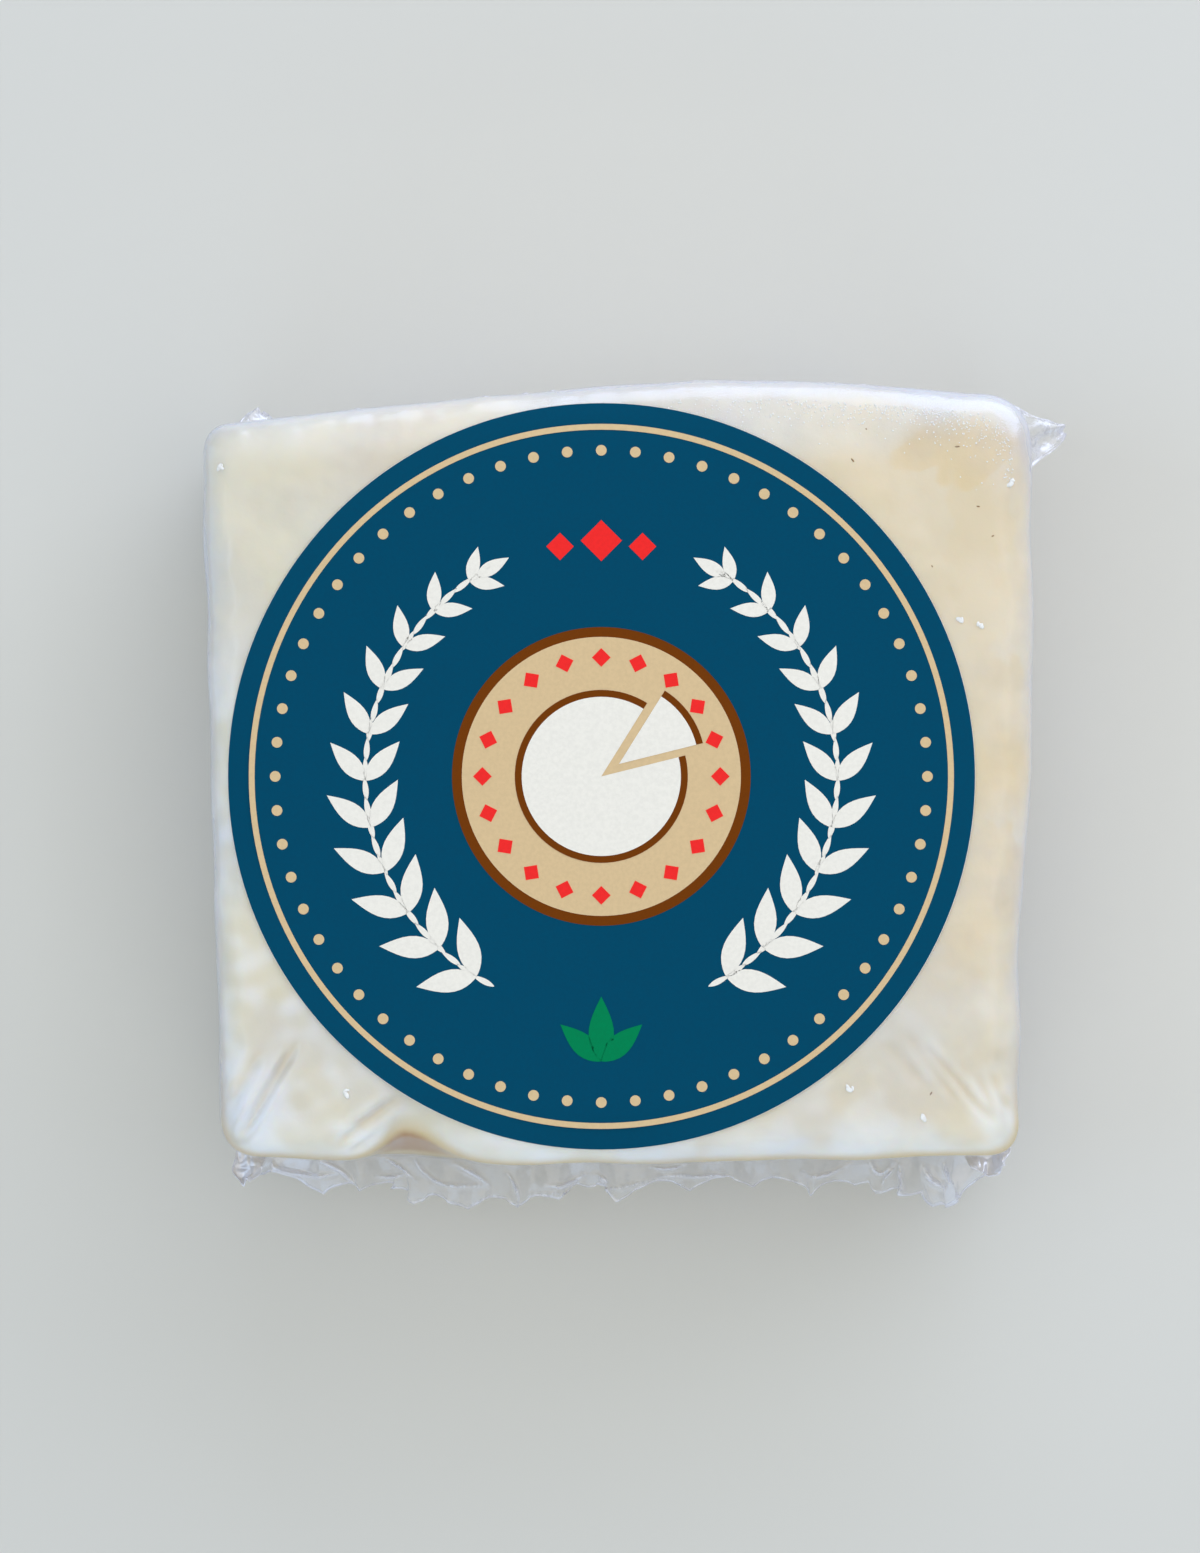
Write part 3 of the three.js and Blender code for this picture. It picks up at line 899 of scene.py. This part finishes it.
def fleck_material():
    material, tree = new_material("brown_fleck")
    mottle = span(tree, noise(tree, object_coords(tree), 3000), 0.3, 0.7, 0, 1)
    body = add_node(tree, "ShaderNodeBsdfPrincipled", values={"Roughness": 0.5})
    colour = blend_colours(tree, mottle, srgb(140, 106, 66), srgb(164, 128, 84))
    tree.links.new(colour, body.inputs["Base Color"])
    finish_with(tree, body.outputs["BSDF"])
    return material


def bubble_material():
    """Frosty little bubbles, white to stand in for their glints as painted highlights: glossy and hardly
    see-through.
    """
    material, tree = new_material("film_bubble_painted_glint")
    mottle = span(tree, noise(tree, object_coords(tree), 1500), 0.35, 0.65, 0.85, 1.0)
    skin = add_node(tree, "ShaderNodeBsdfPrincipled", values={
        "Base Color": srgb(252, 252, 255), "Roughness": 0.2,
    })
    finish_with(tree, see_through(tree, mottle, skin))
    return material


def see_through(tree, opacity, skin):
    """A shader that shows what is behind it, except for this share of its skin."""
    behind = add_node(tree, "ShaderNodeBsdfTransparent")
    mixed = add_node(tree, "ShaderNodeMixShader")
    tree.links.new(opacity, mixed.inputs["Fac"])
    tree.links.new(behind.outputs["BSDF"], mixed.inputs[1])
    tree.links.new(skin.outputs["BSDF"], mixed.inputs[2])
    return mixed.outputs["Shader"]


def add_up(tree, a, b):
    node = add_node(tree, "ShaderNodeMath", operation="ADD", use_clamp=True)
    tree.links.new(a, node.inputs[0])
    tree.links.new(b, node.inputs[1])
    return node.outputs["Value"]


def times(tree, a, b):
    node = add_node(tree, "ShaderNodeMath", operation="MULTIPLY")
    tree.links.new(a, node.inputs[0])
    tree.links.new(b, node.inputs[1])
    return node.outputs["Value"]


def film_skin(tree, coords, colour, metallic, roughness):
    """The part of the film that shows: glossy, with a faint ripple."""
    skin = add_node(tree, "ShaderNodeBsdfPrincipled", values={
        "Base Color": colour, "Metallic": metallic, "Roughness": roughness,
    })
    tree.links.new(bumped(tree, noise(tree, coords, 900, 2, 0.5), 0.00004, 0.6), skin.inputs["Normal"])
    return skin


def frosted(tree, coords, skin):
    """Fine beads in the film where it is frosty."""
    beads = times(tree, noise(tree, coords, 5200, 1, 0.5), amount(tree, "frost"))
    pebbled = add_node(tree, "ShaderNodeBump", values={"Distance": 0.00004, "Strength": 1.0})
    tree.links.new(beads, pebbled.inputs["Height"])
    tree.links.new(skin.inputs["Normal"].links[0].from_socket, pebbled.inputs["Normal"])
    tree.links.new(pebbled.outputs["Normal"], skin.inputs["Normal"])
    return skin


def slanted(tree, start, full, most):
    """0 face on, rising to most where the film is seen edge on."""
    slant = add_node(tree, "ShaderNodeLayerWeight", values={"Blend": 0.35})
    return span(tree, slant.outputs["Facing"], start, full, 0.0, most)


def wrap_film_material():
    """Clear film drawn tight: a little haze, shinier at a slant, and with painted highlight where the veil is
    set.
    """
    material, tree = new_material("film_on_cheese")
    coords = object_coords(tree)
    haze = span(tree, noise(tree, coords, 60, 4, 0.6), 0.38, 0.66, 0.03, 0.2)
    # the veil adds painted highlight along the rims and over the chip
    haze = add_up(tree, haze, span(tree, amount(tree, "veil"), 0.0, 1.0, 0.0, 0.45))
    haze = add_up(tree, haze, span(tree, amount(tree, "frost"), 0.0, 1.0, 0.0, 0.05))
    loose = span(tree, amount(tree, "cling"), 0.0, 1.0, 1.0, 0.15)
    opacity = add_up(tree, haze, times(tree, loose, slanted(tree, 0.04, 0.6, 0.32)))
    skin = frosted(tree, coords, film_skin(tree, coords, srgb(226, 231, 253), 0.35, 0.2))
    finish_with(tree, see_through(tree, opacity, skin))
    return material


def loose_film_material():
    """Clear film standing free: a faint veil, whiter along its folds and edges."""
    material, tree = new_material("film_standing")
    coords = object_coords(tree)
    cloud = span(tree, noise(tree, coords, 260, 4, 0.6), 0.35, 0.7, 0.04, 0.16)
    veil = span(tree, amount(tree, "veil"), 0.2, 1.5, 0.02, 0.66)
    opacity = add_up(tree, add_up(tree, cloud, veil), slanted(tree, 0.3, 1.0, 0.55))
    finish_with(tree, see_through(tree, opacity, film_skin(tree, coords, srgb(242, 243, 255), 0.3, 0.15)))
    return material


def print_material(name, colour):
    """Ink on coated paper, with a faint mottle and tooth."""
    material, tree = new_material(name)
    coords = object_coords(tree)
    tooth = noise(tree, coords, 2500, 3, 0.6)
    darker = tuple(0.94 * c for c in colour[:3]) + (1.0,)
    body = add_node(tree, "ShaderNodeBsdfPrincipled", values={"Specular IOR Level": 0.05})
    ink = blend_colours(tree, span(tree, tooth, 0.3, 0.7, 0, 1), darker, colour)
    tree.links.new(ink, body.inputs["Base Color"])
    tree.links.new(span(tree, tooth, 0.3, 0.7, 0.7, 0.82), body.inputs["Roughness"])
    tree.links.new(bumped(tree, tooth, 0.00002, 0.5), body.inputs["Normal"])
    finish_with(tree, body.outputs["BSDF"])
    return material


# The label and its print, drawn flat about the label's middle and then draped on the cut face

BORDER_INNER, BORDER_OUTER = 35.3, 35.9
BEAD_RING, BEAD_RADIUS, BEAD_SIDES, BEADS = 33.2, 0.55, 18, 60
ROUNDEL_RADIUS, ROUNDEL_RIM = 14.2, 1.0
STUD_RING, STUD_RADIUS, STUDS = 12.1, 0.95, 20
CREST_RADIUS = 1.4
WHEEL_RADIUS, RIND, WEDGE_AT, WEDGE_ANGLE, WEDGE_OUT = 8.8, 0.7, 35.0, 44.0, 2.2
SPRIG_RING, SPRIG_FROM, SPRIG_TO, SPRIG_LEAVES = 24.0, 238.0, 124.0, 11
LEAF_LONG, LEAF_WIDE = 6.2, 2.3


def drape(piece, level):
    """Lays a flat piece on the cut face: level 0 is the paper, and each ink above it is one level up."""
    x, y, z = places_of(piece).T
    x, y = x + LABEL_AT[0], y + LABEL_AT[1]
    lift = LABEL_LIFT + (LABEL_PAPER + (level - 1) * LABEL_INK if level else 0.0)
    put_places(piece, np.column_stack([x, y, z + top_height(x, y) + lift]))
    smooth(piece, 40)
    return piece


def disc(name, radius, thick, around=192):
    """A closed disc, with rings every 3 mm for it to drape by."""
    radii = list(np.linspace(0, radius, int(radius / 3) + 2)[1:])
    return raise_rings(name, [(r, 0.0) for r in radii] + [(r, thick) for r in reversed(radii)], around)


def thicken(piece):
    """Raises a flat shape to the thickness of the ink, closed."""
    bpy.ops.object.mode_set(mode="EDIT")
    bpy.ops.mesh.select_all(action="SELECT")
    bpy.ops.mesh.extrude_region_move(TRANSFORM_OT_translate={"value": (0, 0, LABEL_INK * MM)})
    recalculate_normals()
    bpy.ops.object.mode_set(mode="OBJECT")
    return piece


def ring(name, inner, outer, around=192):
    deselect()
    bpy.ops.mesh.primitive_circle_add(vertices=around, radius=inner * MM, fill_type="NOTHING")
    piece = named(name)
    bpy.ops.object.mode_set(mode="EDIT")
    bpy.ops.mesh.select_all(action="SELECT")
    bpy.ops.mesh.extrude_region_move()
    bpy.ops.transform.resize(value=(outer / inner, outer / inner, 1), center_override=(0, 0, 0))
    bpy.ops.object.mode_set(mode="OBJECT")
    return thicken(piece)


def leaf(name, long, wide):
    """A pointed leaf lying along X from the origin."""
    deselect()
    bpy.ops.mesh.primitive_circle_add(vertices=28, radius=MM, fill_type="TRIFAN")
    piece = named(name)
    x, y, z = places_of(piece).T
    along = np.clip((x + 1) / 2, 0, 1)
    half_width = np.sign(y) * wide / 2 * np.sin(math.pi * along**0.8)
    put_places(piece, np.column_stack([along * long, half_width, z]))
    return thicken(piece)


def flat_round(name, sides, radius):
    """A bead, or with four sides a diamond."""
    deselect()
    bpy.ops.mesh.primitive_circle_add(vertices=sides, radius=radius * MM, fill_type="TRIFAN")
    return thicken(named(name))


def cut_wheel(name, radius):
    """A wheel of cheese from above, with one wedge drawn out of it."""
    deselect()
    bpy.ops.mesh.primitive_circle_add(vertices=90, radius=radius * MM, fill_type="TRIFAN")
    piece = named(name)
    bpy.ops.object.mode_set(mode="EDIT")
    bpy.ops.mesh.select_mode(type="FACE")
    bpy.ops.mesh.select_all(action="DESELECT")
    bpy.ops.object.mode_set(mode="OBJECT")
    for face in piece.data.polygons:
        turn = math.degrees(math.atan2(face.center.y, face.center.x))
        face.select = abs(turn - WEDGE_AT) < WEDGE_ANGLE / 2
    bpy.ops.object.mode_set(mode="EDIT")
    bpy.ops.mesh.split()
    way = math.radians(WEDGE_AT)
    out = WEDGE_OUT * MM
    bpy.ops.transform.translate(value=(out * math.cos(way), out * math.sin(way), 0))
    bpy.ops.object.mode_set(mode="OBJECT")
    return thicken(piece)


def set_out(piece, spots):
    """Copies a flat shape to spots, each an x, a y, a turn in degrees and a scale, and joins the copies."""
    name = piece.name
    flat = places_of(piece)
    copies = [piece]
    for _ in spots[1:]:
        deselect()
        piece.select_set(True)
        bpy.context.view_layer.objects.active = piece
        bpy.ops.object.duplicate()
        copies.append(bpy.context.object)
    for copy, (x, y, turn, scale) in zip(copies, spots):
        turn = math.radians(turn)
        across = scale * (flat[:, 0] * math.cos(turn) - flat[:, 1] * math.sin(turn))
        up = scale * (flat[:, 0] * math.sin(turn) + flat[:, 1] * math.cos(turn))
        put_places(copy, np.column_stack([across + x, up + y, flat[:, 2]]))
    deselect()
    for copy in copies:
        copy.select_set(True)
    bpy.context.view_layer.objects.active = piece
    if len(copies) > 1:
        bpy.ops.object.join()
    return named(name)


def on_ring(radius, degrees, turn=0.0, scale=1.0):
    way = math.radians(degrees)
    return (radius * math.cos(way), radius * math.sin(way), degrees + turn, scale)


def sprig_spots():
    """Pairs of leaves up both sides of the roundel, smaller towards the tip, with one leaf at each tip."""
    spots = []
    for i, turn in enumerate(np.linspace(SPRIG_FROM, SPRIG_TO, SPRIG_LEAVES)):
        scale = 1.0 - 0.42 * (i / (SPRIG_LEAVES - 1)) ** 1.5
        for lean in (-42, 42):
            spots.append(on_ring(SPRIG_RING, turn, -90 + lean, scale))
    spots.append(on_ring(SPRIG_RING, SPRIG_TO - 2, -92, 0.62))
    return spots + [(-x, y, 180 - turn, scale) for x, y, turn, scale in spots]


def stem_spots():
    """Short thin leaves, end to end along each sprig, that make its stem."""
    turns = np.linspace(SPRIG_FROM + 5, SPRIG_TO, 26)
    spots = [on_ring(SPRIG_RING, turn, -90, 1.0) for turn in turns]
    return spots + [(-x, y, 180 - turn, scale) for x, y, turn, scale in spots]


def make_label():
    """Every piece of the label: the paper and, colour by colour, the inks on it."""
    paper = print_material("label_paper", srgb(240, 238, 232))
    blue = print_material("ink_blue", srgb(0, 75, 107))
    tan = print_material("ink_tan", srgb(227, 198, 156))
    cream = print_material("ink_cream", srgb(250, 245, 239))
    brown = print_material("ink_brown", srgb(120, 60, 10))
    red = print_material("ink_red", srgb(255, 48, 48))
    green = print_material("ink_green", srgb(0, 135, 85))
    beads = [on_ring(BEAD_RING, 360 * i / BEADS) for i in range(BEADS)]
    studs = [on_ring(STUD_RING, 360 * i / STUDS) for i in range(STUDS)]
    crest = [(0, 24.0, 0, 1.5), (-4.2, 23.4, 0, 1.0), (4.2, 23.4, 0, 1.0)]
    foot = [(0, -29.0, 90, 1.0), (0, -29.0, 138, 0.85), (0, -29.0, 42, 0.85)]
    pieces = [
        (disc("label", LABEL_RADIUS, LABEL_PAPER), 0, paper),
        (disc("label_ground", LABEL_RADIUS - 0.05, LABEL_INK), 1, blue),
        (ring("label_border", BORDER_INNER, BORDER_OUTER), 2, tan),
        (set_out(flat_round("label_beads", BEAD_SIDES, BEAD_RADIUS), beads), 2, tan),
        (disc("label_rim", ROUNDEL_RADIUS + ROUNDEL_RIM, LABEL_INK, 128), 2, brown),
        (disc("label_roundel", ROUNDEL_RADIUS, LABEL_INK, 128), 3, tan),
        (set_out(flat_round("label_studs", 4, STUD_RADIUS), studs), 4, red),
        (cut_wheel("label_rind", WHEEL_RADIUS), 4, brown),
        (cut_wheel("label_wheel", WHEEL_RADIUS - RIND), 5, cream),
        (set_out(leaf("label_sprigs", LEAF_LONG, LEAF_WIDE), sprig_spots()), 2, cream),
        (set_out(leaf("label_stems", 2.6, 0.6), stem_spots()), 2, cream),
        (set_out(flat_round("label_crest", 4, CREST_RADIUS), crest), 2, red),
        (set_out(leaf("label_foot", 6.6, 2.6), foot), 2, green),
    ]
    for piece, level, ink in pieces:
        dress(drape(piece, level), ink, "label")


# The studio

def make_floor():
    deselect()
    bpy.ops.mesh.primitive_plane_add(size=4.0)
    floor = named("floor")
    material, tree = new_material("pale_floor")
    body = add_node(tree, "ShaderNodeBsdfPrincipled", values={
        "Base Color": srgb(220, 219, 218), "Roughness": 0.8, "Specular IOR Level": 0.2,
    })
    finish_with(tree, body.outputs["BSDF"])
    floor.data.materials.append(material)


def add_softbox(name, place, size, watts, colour):
    """A rectangular soft light at a place in millimetres, facing the middle of the block."""
    data = bpy.data.lights.new(name, "AREA")
    data.shape = "RECTANGLE"
    data.size, data.size_y = size[0] * MM, size[1] * MM
    data.energy = watts
    data.color = colour
    lamp = bpy.data.objects.new(name, data)
    bpy.context.collection.objects.link(lamp)
    lamp.location = Vector(place) * MM
    lamp.rotation_euler = (Vector((0, 0, THICKNESS)) - Vector(place)).to_track_quat("-Z", "Y").to_euler()


def make_lights():
    add_softbox("window_back", (280, 540, 250), (900, 520), 3.5, (0.80, 0.88, 1.0))
    add_softbox("soft_front", (0, -560, 210), (900, 450), 1.3, (0.68, 0.84, 1.0))
    add_softbox("soft_left", (-560, 40, 300), (350, 800), 1.0, (0.64, 0.82, 1.0))
    add_softbox("soft_right", (560, 40, 300), (350, 800), 0.45, (0.84, 0.91, 1.0))
    add_softbox("ceiling", (0, 0, 900), (1400, 1900), 6.9, (1.0, 0.96, 0.82))
    world = bpy.data.worlds.new("studio")
    bpy.context.scene.world = world
    world.use_nodes = True
    sky = world.node_tree.nodes["Background"]
    sky.inputs["Color"].default_value = (0.82, 0.92, 1.0, 1.0)
    sky.inputs["Strength"].default_value = 0.2


def make_camera():
    data = bpy.data.cameras.new("camera")
    data.sensor_fit = "HORIZONTAL"
    data.sensor_width = SENSOR
    data.lens = SENSOR * CAMERA_DISTANCE / (FRAME_WIDE * PIXEL)
    data.clip_start = 0.01
    camera = bpy.data.objects.new("camera", data)
    bpy.context.collection.objects.link(camera)
    camera.location = (VIEW_CENTRE[0] * MM, VIEW_CENTRE[1] * MM, (THICKNESS + CAMERA_DISTANCE) * MM)
    bpy.context.scene.camera = camera


def dress(piece, material, node):
    """Gives a piece its material and its body, and hides the CAD node that it stands for."""
    piece.data.materials.clear()
    piece.data.materials.append(material)
    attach(piece, "root")
    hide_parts(node)


make_camera()
make_lights()
make_floor()
bpy.context.scene.view_settings.view_transform = "Standard"

dress(make_cheese(), cheese_material(), "sealed_cheddar")
dress(make_flecks(), fleck_material(), "sealed_cheddar")
dress(make_film_wrap(), wrap_film_material(), "sealed_cheddar")
dress(make_bubbles(), bubble_material(), "sealed_cheddar")
loose_film = loose_film_material()
dress(make_front_fin(), loose_film, "sealed_cheddar")
dress(make_back_crimp(), loose_film, "sealed_cheddar")
for seed, (name, ear) in enumerate(EARS.items(), 21):
    dress(make_ear(name, *ear, seed), loose_film, "sealed_cheddar")
make_label()
